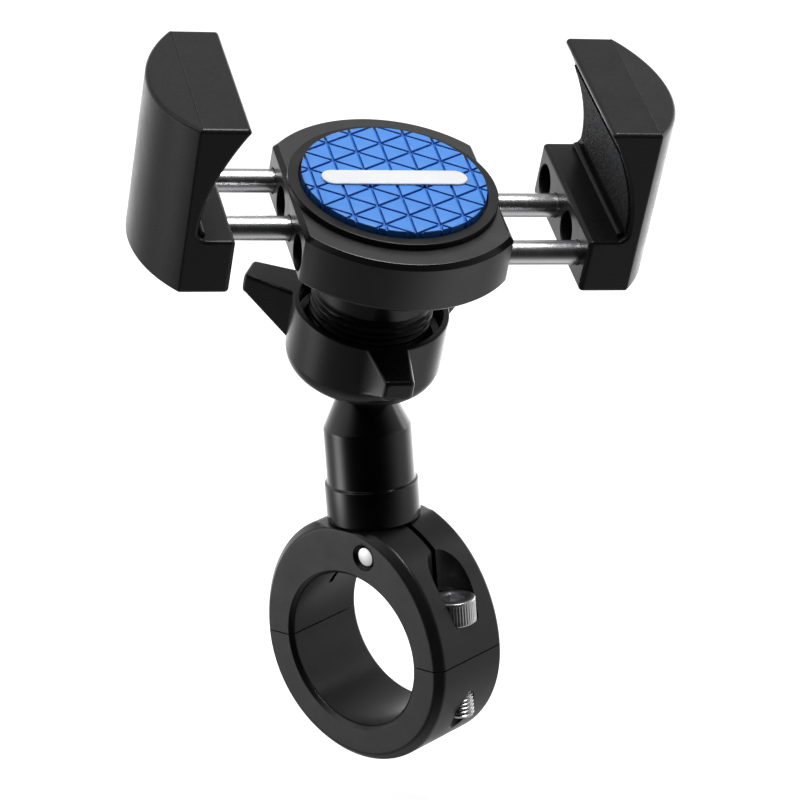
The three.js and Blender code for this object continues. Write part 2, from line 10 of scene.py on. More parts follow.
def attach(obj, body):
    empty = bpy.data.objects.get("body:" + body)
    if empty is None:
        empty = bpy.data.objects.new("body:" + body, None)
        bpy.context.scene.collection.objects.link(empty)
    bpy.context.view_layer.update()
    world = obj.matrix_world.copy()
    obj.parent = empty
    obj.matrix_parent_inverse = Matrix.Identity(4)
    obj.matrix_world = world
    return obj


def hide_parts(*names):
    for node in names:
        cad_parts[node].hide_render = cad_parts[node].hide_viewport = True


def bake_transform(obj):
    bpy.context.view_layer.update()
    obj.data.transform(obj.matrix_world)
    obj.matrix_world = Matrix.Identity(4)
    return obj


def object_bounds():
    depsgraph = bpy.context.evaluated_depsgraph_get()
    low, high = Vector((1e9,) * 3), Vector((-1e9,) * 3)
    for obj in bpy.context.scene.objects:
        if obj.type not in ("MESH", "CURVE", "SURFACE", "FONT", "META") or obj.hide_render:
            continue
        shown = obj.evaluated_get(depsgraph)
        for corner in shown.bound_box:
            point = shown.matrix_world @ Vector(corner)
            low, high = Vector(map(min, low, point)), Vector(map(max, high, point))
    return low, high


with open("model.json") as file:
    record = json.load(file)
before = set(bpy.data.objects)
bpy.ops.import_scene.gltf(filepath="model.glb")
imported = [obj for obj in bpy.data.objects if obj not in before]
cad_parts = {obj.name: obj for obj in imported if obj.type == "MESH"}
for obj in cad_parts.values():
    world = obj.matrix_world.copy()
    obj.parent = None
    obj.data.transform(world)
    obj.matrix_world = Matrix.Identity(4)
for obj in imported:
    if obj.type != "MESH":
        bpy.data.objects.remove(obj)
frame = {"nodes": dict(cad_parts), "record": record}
CAD_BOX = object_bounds()
RECORD = frame["record"]
JOINTS = {j["name"]: j for j in RECORD["behaviour"]["joints"]}
MOUNTS = {m["name"]: m for m in RECORD["mounts"]}
MM = 0.001

# ------------------------------------------------------------------ places, from the record

BALL = Vector(JOINTS["ball_lean"]["pos_m"]) / MM
UP = Vector(JOINTS["holder_spin"]["axis"]).normalized()
ACROSS = Vector(JOINTS["right_jaw_slide"]["axis"]).normalized()
ALONG = UP.cross(ACROSS).normalized()
FACE = Vector(MOUNTS["phone_rest"]["pos_m"]) / MM - UP * 2.95
BALL_TO_FACE = (FACE - BALL).length


def frame_matrix(x, y, z, origin):
    m = Matrix((x, y, z)).transposed().to_4x4()
    m.translation = origin
    return m


HALF_WIDTH, FACE_POINT_Z = 10.0, -19.3
BORE = Vector(MOUNTS["clamp_back_face"]["pos_m"]) / MM - Vector((HALF_WIDTH, 0, FACE_POINT_Z))
CLAMP = Matrix.Translation(BORE)
HOLDER = frame_matrix(ACROSS, ALONG, UP, FACE)
SCREW_Y = JOINTS["clamp_screw_left_turn"]["pos_m"][1] / MM - BORE.y
PINCH = Vector(JOINTS["pinch_screw_turn"]["pos_m"]) / MM - BORE
ALONG_X = Matrix.Rotation(math.pi / 2, 4, "Y")


def span(node, direction, origin):
    """The lowest and highest of a node's vertices along direction, in mm from origin."""
    values = [(v.co / MM - origin).dot(direction) for v in frame["nodes"][node].data.vertices]
    return min(values), max(values)


# ------------------------------------------------------------------ mesh building, in mm

def lathe(profile, segments=96, bend=None):
    """Turns a profile of (radius, height) about Z. bend(radius, height, angle) may change a radius."""
    bm = bmesh.new()
    closed = tuple(profile[0]) == tuple(profile[-1])
    points = profile[:-1] if closed else profile
    rows = []
    for r, z in points:
        if r < 1e-6:
            rows.append([bm.verts.new((0, 0, z))])
            continue
        row = []
        for i in range(segments):
            a = 2 * math.pi * i / segments
            rr = bend(r, z, a) if bend else r
            row.append(bm.verts.new((rr * math.cos(a), rr * math.sin(a), z)))
        rows.append(row)
    pairs = list(zip(rows, rows[1:]))
    if closed:
        pairs.append((rows[-1], rows[0]))
    for low, high in pairs:
        if len(low) == 1 and len(high) == 1:
            continue
        for i in range(segments):
            j = (i + 1) % segments
            if len(low) == 1:
                bm.faces.new((low[0], high[j], high[i]))
            elif len(high) == 1:
                bm.faces.new((low[i], low[j], high[0]))
            else:
                bm.faces.new((low[i], low[j], high[j], high[i]))
    bmesh.ops.recalc_face_normals(bm, faces=bm.faces)
    return bm


def soften(points, radius=0.3, steps=3):
    """Rounds the corners of an open profile."""
    out = [tuple(points[0])]
    for p, q, s in zip(points, points[1:], points[2:]):
        q = Vector(q)
        a, b = Vector(p) - q, Vector(s) - q
        if a.length < 1e-6 or b.length < 1e-6 or a.angle(b) > math.radians(168):
            out.append(tuple(q))
            continue
        d = min(radius, a.length * 0.45, b.length * 0.45)
        start, end = q + a.normalized() * d, q + b.normalized() * d
        for k in range(steps + 1):
            t = k / steps
            out.append(tuple(start * (1 - t) ** 2 + q * 2 * t * (1 - t) + end * t * t))
    out.append(tuple(points[-1]))
    return out


def soft_ring(points, radius=0.3, steps=3):
    """Rounds every corner of a closed profile."""
    loop = [points[-1]] + list(points) + [points[0]]
    body = soften(loop, radius, steps)[1:-1]
    return body + [body[0]]


def loft(sections, cap=True):
    bm = bmesh.new()
    rows = [[bm.verts.new(p) for p in s] for s in sections]
    n = len(rows[0])
    for low, high in zip(rows, rows[1:]):
        for i in range(n):
            j = (i + 1) % n
            bm.faces.new((low[i], low[j], high[j], high[i]))
    if cap:
        bm.faces.new(rows[0][::-1])
        bm.faces.new(rows[-1])
    bmesh.ops.recalc_face_normals(bm, faces=bm.faces)
    return bm


def shrunk(points, amount):
    """Moves every side of a convex outline inwards."""
    n = len(points)
    out = []
    for i in range(n):
        p, q, s = Vector(points[i - 1]), Vector(points[i]), Vector(points[(i + 1) % n])
        a, b = (q - p).normalized(), (s - q).normalized()
        na, nb = Vector((-a.y, a.x)), Vector((-b.y, b.x))
        m = na + nb
        m = m / max(0.35, m.length_squared / 2) if m.length > 1e-6 else na
        out.append(tuple(q + m * amount))
    return out


def rounded(points, radius, steps=4):
    """A closed outline with its corners rounded."""
    return soft_ring(points, radius, steps)[:-1]


def prism(points, z0, z1):
    return loft([[(x, y, z0) for x, y in points], [(x, y, z1) for x, y in points]])


def block(x0, x1, y0, y1, z0, z1):
    return prism([(x0, y0), (x1, y0), (x1, y1), (x0, y1)], z0, z1)


def cylinder(r, z0, z1, segments=64):
    return lathe([(0, z0), (r, z0), (r, z1), (0, z1)], segments)


def hexagon(across_flats, z0, z1):
    return cylinder(across_flats / math.sqrt(3), z0, z1, 6)


def threaded(r, depth, pitch, z0, z1, segments=64, rows=8):
    """A helical thread on a rod, running out at both ends."""
    count = max(2, round((z1 - z0) / pitch * rows))
    profile = [(0, z0)] + [(r, z0 + (z1 - z0) * k / count) for k in range(count + 1)] + [(0, z1)]

    def bend(radius, z, a):
        phase = ((z - z0) / pitch - a / (2 * math.pi)) % 1.0
        crest = min(1.0, 1.35 * abs(2 * phase - 1))
        fade = min(1.0, (z - z0) / (0.8 * pitch), (z1 - z) / (0.8 * pitch))
        return radius - depth * (1 - crest * max(0.0, fade))

    return lathe(profile, segments, bend)


def moved(bm, matrix):
    bmesh.ops.transform(bm, matrix=matrix, verts=bm.verts)
    return bm


def shifted(bm, x=0, y=0, z=0):
    return moved(bm, Matrix.Translation((x, y, z)))


def along_x(bm, x=0, y=0, z=0):
    return shifted(moved(bm, ALONG_X), x, y, z)


def turned(bm, degrees):
    return moved(bm, Matrix.Rotation(math.radians(degrees), 4, "Z"))


def temporary(bm):
    mesh = bpy.data.meshes.new("made")
    bm.to_mesh(mesh)
    bm.free()
    obj = bpy.data.objects.new("made", mesh)
    bpy.context.scene.collection.objects.link(obj)
    return obj


def settle(obj):
    """Applies the modifiers."""
    bpy.context.view_layer.update()
    graph = bpy.context.evaluated_depsgraph_get()
    mesh = bpy.data.meshes.new_from_object(obj.evaluated_get(graph))
    old = obj.data
    obj.modifiers.clear()
    obj.data = mesh
    bpy.data.meshes.remove(old)
    return obj


def combine(obj, tools, operation):
    for bm in tools:
        tool = temporary(bm)
        modifier = obj.modifiers.new("combine", "BOOLEAN")
        modifier.operation = operation
        modifier.solver = "EXACT"
        modifier.object = tool
        settle(obj)
        bpy.data.objects.remove(tool)
    return obj


def cut(obj, *tools):
    return combine(obj, tools, "DIFFERENCE")


def join(obj, *tools):
    return combine(obj, tools, "UNION")


def bevelled(obj, width, segments=3, angle=32):
    clean = bmesh.new()
    clean.from_mesh(obj.data)
    bmesh.ops.remove_doubles(clean, verts=clean.verts, dist=0.002)
    bmesh.ops.dissolve_degenerate(clean, edges=clean.edges, dist=0.002)
    clean.to_mesh(obj.data)
    clean.free()
    modifier = obj.modifiers.new("edge", "BEVEL")
    modifier.width = width
    modifier.segments = segments
    modifier.limit_method = "ANGLE"
    modifier.angle_limit = math.radians(angle)
    modifier.use_clamp_overlap = True
    return settle(obj)


def piece(name, made, body, materials, nodes=(), place=CLAMP, smooth=35, weighted=True, crease=None):
    """Finishes a mesh made in mm: shading, material, place, and the body it rides on."""
    obj = temporary(made) if isinstance(made, bmesh.types.BMesh) else made
    obj.name = name
    mesh = obj.data
    mesh.name = name
    mesh.shade_smooth()
    mesh.set_sharp_from_angle(angle=math.radians(smooth))
    if crease:
        for edge in mesh.edges:
            if all(crease(mesh.vertices[i].co) for i in edge.vertices):
                edge.use_edge_sharp = True
    mesh.transform(Matrix.Scale(MM, 4) @ place)
    if weighted:
        modifier = obj.modifiers.new("normals", "WEIGHTED_NORMAL")
        modifier.keep_sharp = True
    for m in materials if isinstance(materials, (list, tuple)) else [materials]:
        mesh.materials.append(m)
    if body:
        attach(obj, body)
    if nodes:
        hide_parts(*nodes)
    return obj


# ------------------------------------------------------------------ materials

class Graph:
    """A small wrapper for building a node material."""

    def __init__(self, name, axes=None):
        self.material = bpy.data.materials.new(name)
        self.material.use_nodes = True
        self.tree = self.material.node_tree
        self.shader = self.tree.nodes["Principled BSDF"]
        self.coords = self.tree.nodes.new("ShaderNodeTexCoord").outputs["Object"]
        if axes is not None:
            mapping = self.tree.nodes.new("ShaderNodeMapping")
            mapping.vector_type = "TEXTURE"
            mapping.inputs["Location"].default_value = axes.translation * MM
            mapping.inputs["Rotation"].default_value = axes.to_euler()
            self.feed(mapping.inputs["Vector"], self.coords)
            self.coords = mapping.outputs["Vector"]

    def node(self, kind, **inputs):
        n = self.tree.nodes.new(kind)
        for key, value in inputs.items():
            self.feed(n.inputs[key.replace("_", " ")], value)
        return n

    def feed(self, socket, value):
        if isinstance(value, bpy.types.NodeSocket):
            self.tree.links.new(value, socket)
        else:
            socket.default_value = value

    def noise(self, scale, detail=4.0, rough=0.55, stretch=None):
        source = self.coords
        if stretch:
            mapping = self.tree.nodes.new("ShaderNodeMapping")
            mapping.inputs["Scale"].default_value = stretch
            self.feed(mapping.inputs["Vector"], source)
            source = mapping.outputs["Vector"]
        n = self.node("ShaderNodeTexNoise", Scale=scale, Detail=detail, Roughness=rough)
        self.feed(n.inputs["Vector"], source)
        return n.outputs["Fac"]

    def span(self, value, low, high, to_low=0.0, to_high=1.0):
        n = self.tree.nodes.new("ShaderNodeMapRange")
        for key, v in (("Value", value), ("From Min", low), ("From Max", high), ("To Min", to_low), ("To Max", to_high)):
            self.feed(n.inputs[key], v)
        return n.outputs["Result"]

    def mix(self, fac, a, b):
        n = self.tree.nodes.new("ShaderNodeMix")
        n.data_type = "RGBA"
        self.feed(n.inputs["Factor"], fac)
        for socket, colour in ((n.inputs[6], a), (n.inputs[7], b)):
            self.feed(socket, colour if isinstance(colour, bpy.types.NodeSocket) else (*colour, 1.0))
        return n.outputs[2]

    def math(self, operation, a, b=0.0):
        n = self.tree.nodes.new("ShaderNodeMath")
        n.operation = operation
        n.use_clamp = operation in ("ADD", "MULTIPLY")
        self.feed(n.inputs[0], a)
        self.feed(n.inputs[1], b)
        return n.outputs[0]

    def edges(self, radius):
        """1 on sharp edges, 0 on faces."""
        bevel = self.node("ShaderNodeBevel", Radius=radius)
        bevel.samples = 4
        true = self.tree.nodes.new("ShaderNodeNewGeometry").outputs["Normal"]
        dot = self.tree.nodes.new("ShaderNodeVectorMath")
        dot.operation = "DOT_PRODUCT"
        self.feed(dot.inputs[0], bevel.outputs["Normal"])
        self.feed(dot.inputs[1], true)
        return self.span(dot.outputs["Value"], 0.99, 0.80)

    def bump(self, height, strength, distance, under=None):
        n = self.node("ShaderNodeBump", Strength=strength, Distance=distance, Height=height)
        if under:
            self.feed(n.inputs["Normal"], under)
        return n.outputs["Normal"]


def satin(name, colour, roughness, metallic, grain=2500, grain_depth=0.00002, vary=0.12,
          worn_and_highlit_edge_colour=None, worn_and_highlit_edge_amount=0.5, edge=0.0004, coat=0.0, brushed=None, brush_depth=0.00003, speck=0.25,
          specular=0.5, axes=None):
    """A finish with grain, uneven gloss, slight colour drift and lightened edges, partly edge wear and partly painted
    highlight.
    """
    g = Graph(name, axes)
    drift = g.noise(90, 5)
    darker = tuple(c * (1 - vary) for c in colour)
    lighter = tuple(min(1, c * (1 + vary)) for c in colour)
    base = g.mix(g.span(drift, 0.3, 0.7), darker, lighter)
    fine = g.noise(grain, 6, 0.7)
    base = g.mix(g.math("MULTIPLY", g.span(fine, 0.45, 0.75), speck), base, tuple(min(1, c * 1.6 + 0.01) for c in colour))
    rough = g.span(g.noise(220, 6, 0.65), 0.25, 0.75, roughness * 0.82, min(1, roughness * 1.2))
    # Edges are lightened: partly real edge wear, partly a painted highlight along the edge lines.
    if worn_and_highlit_edge_colour:
        patchy = g.span(g.noise(600, 6, 0.7), 0.35, 0.65)
        worn_and_highlit_edge_mask = g.math("MULTIPLY", g.math("MULTIPLY", g.edges(edge), patchy), worn_and_highlit_edge_amount)
        base = g.mix(worn_and_highlit_edge_mask, base, worn_and_highlit_edge_colour)
        rough = g.math("ADD", rough, g.math("MULTIPLY", worn_and_highlit_edge_mask, -0.12))
    normal = g.bump(fine, 0.35, grain_depth)
    if brushed:
        normal = g.bump(g.noise(400, 3, 0.6, brushed), 0.25, brush_depth, normal)
    g.feed(g.shader.inputs["Base Color"], base)
    g.feed(g.shader.inputs["Roughness"], rough)
    g.feed(g.shader.inputs["Metallic"], metallic)
    g.feed(g.shader.inputs["Specular IOR Level"], specular)
    g.feed(g.shader.inputs["Coat Weight"], coat)
    g.feed(g.shader.inputs["Coat Roughness"], 0.25)
    g.feed(g.shader.inputs["Normal"], normal)
    return g.material


def rough_rubber(name, colour):
    g = Graph(name)
    coarse = g.noise(1500, 5, 0.7)
    fine = g.noise(5200, 4, 0.7)
    base = g.mix(g.span(coarse, 0.5, 0.72), colour, tuple(c * 4 + 0.05 for c in colour))
    g.feed(g.shader.inputs["Base Color"], base)
    g.feed(g.shader.inputs["Roughness"], g.span(fine, 0.3, 0.7, 0.55, 0.9))
    g.feed(g.shader.inputs["Normal"], g.bump(fine, 0.6, 0.00006, g.bump(coarse, 0.9, 0.00022)))
    return g.material


def coloured_rubber(name, colour, deep, roughness=0.55, grain=1800):
    g = Graph(name)
    drift = g.span(g.noise(140, 5), 0.3, 0.7)
    base = g.mix(drift, colour, tuple(min(1, c * 1.06) for c in colour))
    base = g.mix(g.span(g.noise(grain, 5, 0.7), 0.62, 0.8), base, deep)
    g.feed(g.shader.inputs["Base Color"], base)
    g.feed(g.shader.inputs["Roughness"], g.span(g.noise(500, 4), 0.3, 0.7, roughness * 0.85, roughness * 1.15))
    g.feed(g.shader.inputs["Subsurface Weight"], 0.06)
    g.feed(g.shader.inputs["Subsurface Radius"], (0.002, 0.002, 0.003))
    g.feed(g.shader.inputs["Normal"], g.bump(g.noise(grain * 2, 4, 0.7), 0.4, 0.00003))
    return g.material


# The worn colours below lighten the edges, partly as wear and partly as painted highlight.
RING_METAL = satin("black_anodised_ring", (0.01, 0.01, 0.0104), 0.33, 0.0, worn_and_highlit_edge_colour=(0.07, 0.07, 0.072), worn_and_highlit_edge_amount=0.4,
                   brushed=(1, 1, 12), grain=1500, grain_depth=0.00003, speck=0.3)
POST_METAL = satin("black_anodised_post", (0.004, 0.004, 0.0042), 0.15, 0.0, worn_and_highlit_edge_colour=(0.06, 0.06, 0.06), worn_and_highlit_edge_amount=0.3,
                   brushed=(0.4, 0.4, 14), brush_depth=0.00001, grain=3600, speck=0.1, specular=0.8)
SOCKET_METAL = satin("black_anodised_socket", (0.006, 0.006, 0.0062), 0.3, 0.0, worn_and_highlit_edge_colour=(0.05, 0.05, 0.05), worn_and_highlit_edge_amount=0.25,
                     brushed=(0.4, 0.4, 14), grain=3600, speck=0.1, axes=HOLDER)
HOUSING_METAL = satin("grey_anodised", (0.011, 0.011, 0.0114), 0.33, 0.0, worn_and_highlit_edge_colour=(0.06, 0.06, 0.062), worn_and_highlit_edge_amount=0.12,
                      grain=1500, grain_depth=0.00003, speck=0.3, specular=0.8, axes=HOLDER)
# A darker, glossier copy of the housing's finish for its chamfer: the darker colour is painted shade.
HOUSING_CHAMFER_SHADE = satin("grey_anodised_chamfer_painted_shade", (0.004, 0.004, 0.0042), 0.16, 0.0, grain=3600, grain_depth=0.000005,
                        speck=0.1, specular=0.4, axes=HOLDER)
STEEL = satin("stainless_steel", (0.62, 0.62, 0.63), 0.26, 1.0, vary=0.04, speck=0.08, brushed=(6, 1, 1),
              brush_depth=0.0000015, grain=3000, grain_depth=0.000002, axes=HOLDER)
SCREW_STEEL = satin("screw_steel", (0.7, 0.7, 0.71), 0.3, 1.0, vary=0.06, speck=0.1, grain=4200,
                    grain_depth=0.00001)
SPRING_STEEL = satin("spring_wire", (0.45, 0.45, 0.46), 0.25, 1.0, vary=0.08, grain=4200, grain_depth=0.00001)
DARK_STEEL = satin("black_oxide_steel", (0.03, 0.03, 0.033), 0.4, 0.5, worn_and_highlit_edge_colour=(0.15, 0.15, 0.15))
COLLAR_PLASTIC = satin("moulded_black_gloss", (0.0085, 0.0085, 0.0089), 0.26, 0.0, worn_and_highlit_edge_colour=(0.05, 0.05, 0.052), worn_and_highlit_edge_amount=0.4,
                       coat=0.15, grain=1900, grain_depth=0.00002, speck=0.1, specular=0.4)
JAW_PLASTIC = satin("moulded_black_satin", (0.0115, 0.0115, 0.0118), 0.29, 0.0, worn_and_highlit_edge_colour=(0.06, 0.06, 0.062), worn_and_highlit_edge_amount=0.45,
                    grain=1500, grain_depth=0.00004, speck=0.35, specular=0.26)
CARRIER_PLASTIC = satin("moulded_black_matt", (0.004, 0.004, 0.0044), 0.4, 0.0, worn_and_highlit_edge_colour=(0.05, 0.05, 0.05), worn_and_highlit_edge_amount=0.4,
                        grain=2600, speck=0.12, specular=0.35)
PALE_PLASTIC = satin("acetal", (0.62, 0.6, 0.55), 0.45, 0.0, vary=0.04, speck=0.1)
LINING = rough_rubber("rough_lining", (0.011, 0.011, 0.0115))
BLUE = coloured_rubber("blue_rubber", (0.045, 0.2, 0.58), (0.025, 0.13, 0.45))
# A darker blue for the groove floors and walls: painted shade in the recesses.
GROOVE_SHADE_BLUE = coloured_rubber("blue_rubber_groove_painted_shade", (0.009, 0.105, 0.41), (0.007, 0.08, 0.33), 0.65)
WHITE = coloured_rubber("white_rubber", (0.6, 0.61, 0.63), (0.5, 0.51, 0.54), 0.6)

# ------------------------------------------------------------------ clamp

BORE_R, CROWN = 16.0, 27.2
CLAMP_R = -span("clamp_lower_half", Vector((0, 0, 1)), BORE)[0]
SEAT_Z = span("clamp_upper_half", Vector((0, 0, 1)), BORE)[1]
PARTING = 0.14
HEAD_SEAT, HEAD_TOP = 7.0, 12.0


def clamp_outline(x, inset):
    points = []
    steps = 180
    for i in range(steps):
        a = 2 * math.pi * i / steps
        rise = CROWN if math.sin(a) > 0 else CLAMP_R
        points.append((x, (CLAMP_R - inset) * math.cos(a), min((rise - inset) * math.sin(a), SEAT_Z)))
    return points


def clamp_body():
    h, c = HALF_WIDTH, 1.5
    profile = soften([(-h, 3.5), (-h, c), (-h + c, 0), (h - c, 0), (h, c), (h, 3.5)], 0.45, 4)
    body = temporary(loft([clamp_outline(x, inset) for x, inset in profile]))
    land, wide = h - 0.8, BORE_R + 1.8
    bore = along_x(lathe(soften([(0, -h - 1), (wide, -h - 1), (BORE_R, -land), (BORE_R, land), (wide, h + 1),
                                 (0, h + 1)], 0.35), 180))
    return cut(body, bore)


upper = clamp_body()
for y in (-SCREW_Y, SCREW_Y):
    cut(upper, shifted(cylinder(2.7, -5, HEAD_SEAT + 1, 48), y=y), shifted(cylinder(4.6, HEAD_SEAT, 40, 72), y=y))
cut(upper, block(-0.65, 0.65, -40, 40, 8.7, 40), cylinder(5.2, 13, 30, 64),
    along_x(cylinder(2.2, -12, 10, 40), y=PINCH.y, z=PINCH.z),
    along_x(lathe([(0, -12), (2.75, -12), (2.75, -9.75), (2.1, -9.1), (0, -9.1)], 40), y=PINCH.y, z=PINCH.z),
    along_x(cylinder(3.8, 5.6, 12, 48), y=PINCH.y, z=PINCH.z))
bevelled(upper, 0.16, 2)
cut(upper, block(-30, 30, -40, 40, -40, PARTING))
piece("clamp_upper_half_body", upper, "clamp", RING_METAL, ["clamp_upper_half"])

lower = clamp_body()
for y in (-SCREW_Y, SCREW_Y):
    cut(lower, shifted(cylinder(2.7, -18, 5, 48), y=y))
bevelled(lower, 0.16, 2)
cut(lower, block(-30, 30, -40, 40, -PARTING, 40))
piece("clamp_lower_half_body", lower, "lower_clamp", RING_METAL, ["clamp_lower_half"])


def cap_screw(head_r, head_h, r, pitch, length, flats):
    """A socket head screw standing on z = 0, with a knurled head and a real thread."""
    def knurl(radius, z, a):
        if radius > head_r - 0.05 and 0.5 < z < head_h - 0.45:
            return radius - 0.08 * (0.5 + 0.5 * math.cos(44 * a))
        return radius
    side = [(head_r, 0.6 + (head_h - 1.2) * k / 4) for k in range(5)]
    head = temporary(lathe([(0, 0.02)] + soften([(r - 0.3, 0.02), (head_r, 0.02)] + side
                           + [(head_r, head_h), (0, head_h)], 0.35, 4)[0:], 352, knurl))
    cut(head, hexagon(flats, head_h * 0.42, head_h + 1),
        lathe([(0, head_h - 0.25), (flats * 0.56, head_h - 0.25), (flats * 0.66, head_h + 0.05), (0, head_h + 0.05)], 48))
    shank = threaded(r, 0.36 if r > 2.2 else 0.3, pitch, -length, -0.4, 72, 9)
    neck = lathe([(0, -0.9), (r - 0.35, -0.9), (r - 0.35, 0.5), (0, 0.5)], 48)
    return join(head, neck, shank)


for side, y in (("left", SCREW_Y), ("right", -SCREW_Y)):
    screw = cap_screw(4.25, 5, 2.5, 0.8, 20, 4)
    screw.data.transform(Matrix.Translation((0, y, HEAD_SEAT)))
    piece("clamp_screw_" + side + "_body", screw, side + "_clamp_screw", SCREW_STEEL,
          ["clamp_screw_" + side], smooth=40)

screw = cap_screw(3.5, 4, 2.0, 0.7, 14.2, 3)
tip = lathe(soften([(0, -15), (1.98, -15), (1.98, -13.9), (0, -13.9)], 0.22), 48)
join(screw, tip)
screw.data.transform(Matrix.Translation((5.6, PINCH.y, PINCH.z)) @ ALONG_X)
piece("pinch_screw_body", screw, "pinch", SCREW_STEEL, ["pinch_screw"], smooth=40)

# ------------------------------------------------------------------ post

BALL_Z = BALL.z - BORE.z
NECK_R, BALL_R = 5.2, 8.5
neck_z = BALL_Z - math.sqrt(BALL_R ** 2 - NECK_R ** 2)
profile = soften([
    (0, 16.8), (5, 16.8), (5, 18.1), (3.2, 18.4), (3.2, 23.0), (5, 23.3), (5, 25.5), (9.35, 25.5), (9.35, 33.2),
    (8.75, 33.35), (8.75, 44.6), (NECK_R + 0.15, neck_z - 0.3), (NECK_R, neck_z)], 0.35, 4)
start = math.asin((neck_z - BALL_Z) / BALL_R)
for i in range(1, 49):
    a = start + (math.pi / 2 - start) * i / 48
    profile.append((0 if i == 48 else BALL_R * math.cos(a), BALL_Z + BALL_R * math.sin(a)))
piece("ball_post_body", lathe(profile, 160), "post", POST_METAL, ["ball_post"], weighted=False)

# ------------------------------------------------------------------ housing

HOUSING_R = span("holder_housing", ALONG, FACE)[1]
FLAT = span("holder_housing", ACROSS, FACE)[1]
THICK = -span("holder_housing", UP, FACE)[0]
PITCH, ROD_H, ROD_R = 8.0, -6.1, 2.35
LEFT, RIGHT = (1.5 * PITCH, -0.5 * PITCH), (0.5 * PITCH, -1.5 * PITCH)


def housing_outline(z, inset):
    points = []
    r, w = HOUSING_R - inset, FLAT - inset
    corner = math.acos(w / r)
    for side in (1, -1):
        for i in range(61):
            a = corner + (math.pi - 2 * corner) * i / 60
            points.append((side * r * math.cos(a), side * r * math.sin(a)))
    return [(x, y, z) for x, y in rounded(points, 0.35, 3)]


edge_line = soften([(-THICK, 4), (-THICK, 0.8), (-THICK + 0.8, 0), (-0.9, 0), (0, 0.9), (0, 4)], 0.1, 3)
housing = temporary(loft([housing_outline(z, inset) for z, inset in edge_line]))
shoulder = FLAT - 8
for y in LEFT:
    cut(housing, along_x(cylinder(2.6, -30, 30, 48), y=y, z=ROD_H), along_x(cylinder(3.5, -shoulder, 30, 64), y=y, z=ROD_H))
for y in RIGHT:
    cut(housing, along_x(cylinder(2.6, -30, 30, 48), y=y, z=ROD_H), along_x(cylinder(3.5, -30, shoulder, 64), y=y, z=ROD_H))
bevelled(housing, 0.12, 2)
# The chamfer faces take the darker copy, which paints shade on them.
for face in housing.data.polygons:
    if face.center.z > -0.9 and 0.4 < face.normal.z < 0.9:
        face.material_index = 1
piece("holder_housing_body", housing, "holder", [HOUSING_METAL, HOUSING_CHAMFER_SHADE], ["holder_housing"],
      HOLDER)

# ------------------------------------------------------------------ pad

CARRIER_R, CARRIER_H, PAD_R, PAD_TOP = 20.2, 1.3, 17.75, 2.5
carrier = lathe(soften([(0, 0.05), (CARRIER_R, 0.05), (CARRIER_R, CARRIER_H), (PAD_R + 0.3, CARRIER_H), (PAD_R + 0.3, 0.45),
                        (0, 0.45)], 0.25, 4), 160)
piece("pad_carrier_disc", carrier, "holder", CARRIER_PLASTIC, ["pad_carrier"], HOLDER)

SIDE, GROOVE, DEPTH = 6.1, 0.5, 0.5


def clipped(corners, radius):
    """A triangle cut by the pad's rim, as a polygon whose outer side follows the rim."""
    fine = []
    for (x0, y0), (x1, y1) in zip(corners, corners[1:] + corners[:1]):
        for k in range(24):
            t = k / 24
            fine.append((x0 + (x1 - x0) * t, y0 + (y1 - y0) * t))
    out = []
    for i, (x, y) in enumerate(fine):
        inside = math.hypot(x, y) <= radius
        nx, ny = fine[(i + 1) % len(fine)]
        if inside:
            out.append((x, y))
        if inside != (math.hypot(nx, ny) <= radius):
            low, high = (0.0, 1.0) if inside else (1.0, 0.0)
            for _ in range(30):
                mid = (low + high) / 2
                if math.hypot(x + (nx - x) * mid, y + (ny - y) * mid) <= radius:
                    low = mid
                else:
                    high = mid
            out.append((x + (nx - x) * low, y + (ny - y) * low))
    if len(out) < 3:
        return []
    full = []
    for (x0, y0), (x1, y1) in zip(out, out[1:] + out[:1]):
        full.append((x0, y0))
        a0, a1 = math.atan2(y0, x0), math.atan2(y1, x1)
        step = (a1 - a0 + math.pi) % (2 * math.pi) - math.pi
        on_rim = abs(math.hypot(x0, y0) - radius) < 1e-3 and abs(math.hypot(x1, y1) - radius) < 1e-3
        if on_rim and abs(step) > 0.02:
            for k in range(1, 8):
                a = a0 + step * k / 8
                full.append((radius * math.cos(a), radius * math.sin(a)))
    return full


def area(points):
    return 0.5 * sum(x0 * y1 - x1 * y0 for (x0, y0), (x1, y1) in zip(points, points[1:] + points[:1]))


def tidy(points, gap):
    """Drops points on straight runs and points nearer than gap."""
    kept = [p for i, p in enumerate(points) if math.dist(p, points[i - 1]) > gap]
    out = []
    for i, p in enumerate(kept):
        a, b = Vector(kept[i - 1]) - Vector(p), Vector(kept[(i + 1) % len(kept)]) - Vector(p)
        if a.length > 0 and b.length > 0 and a.angle(b) < math.radians(179):
            out.append(p)
    return out


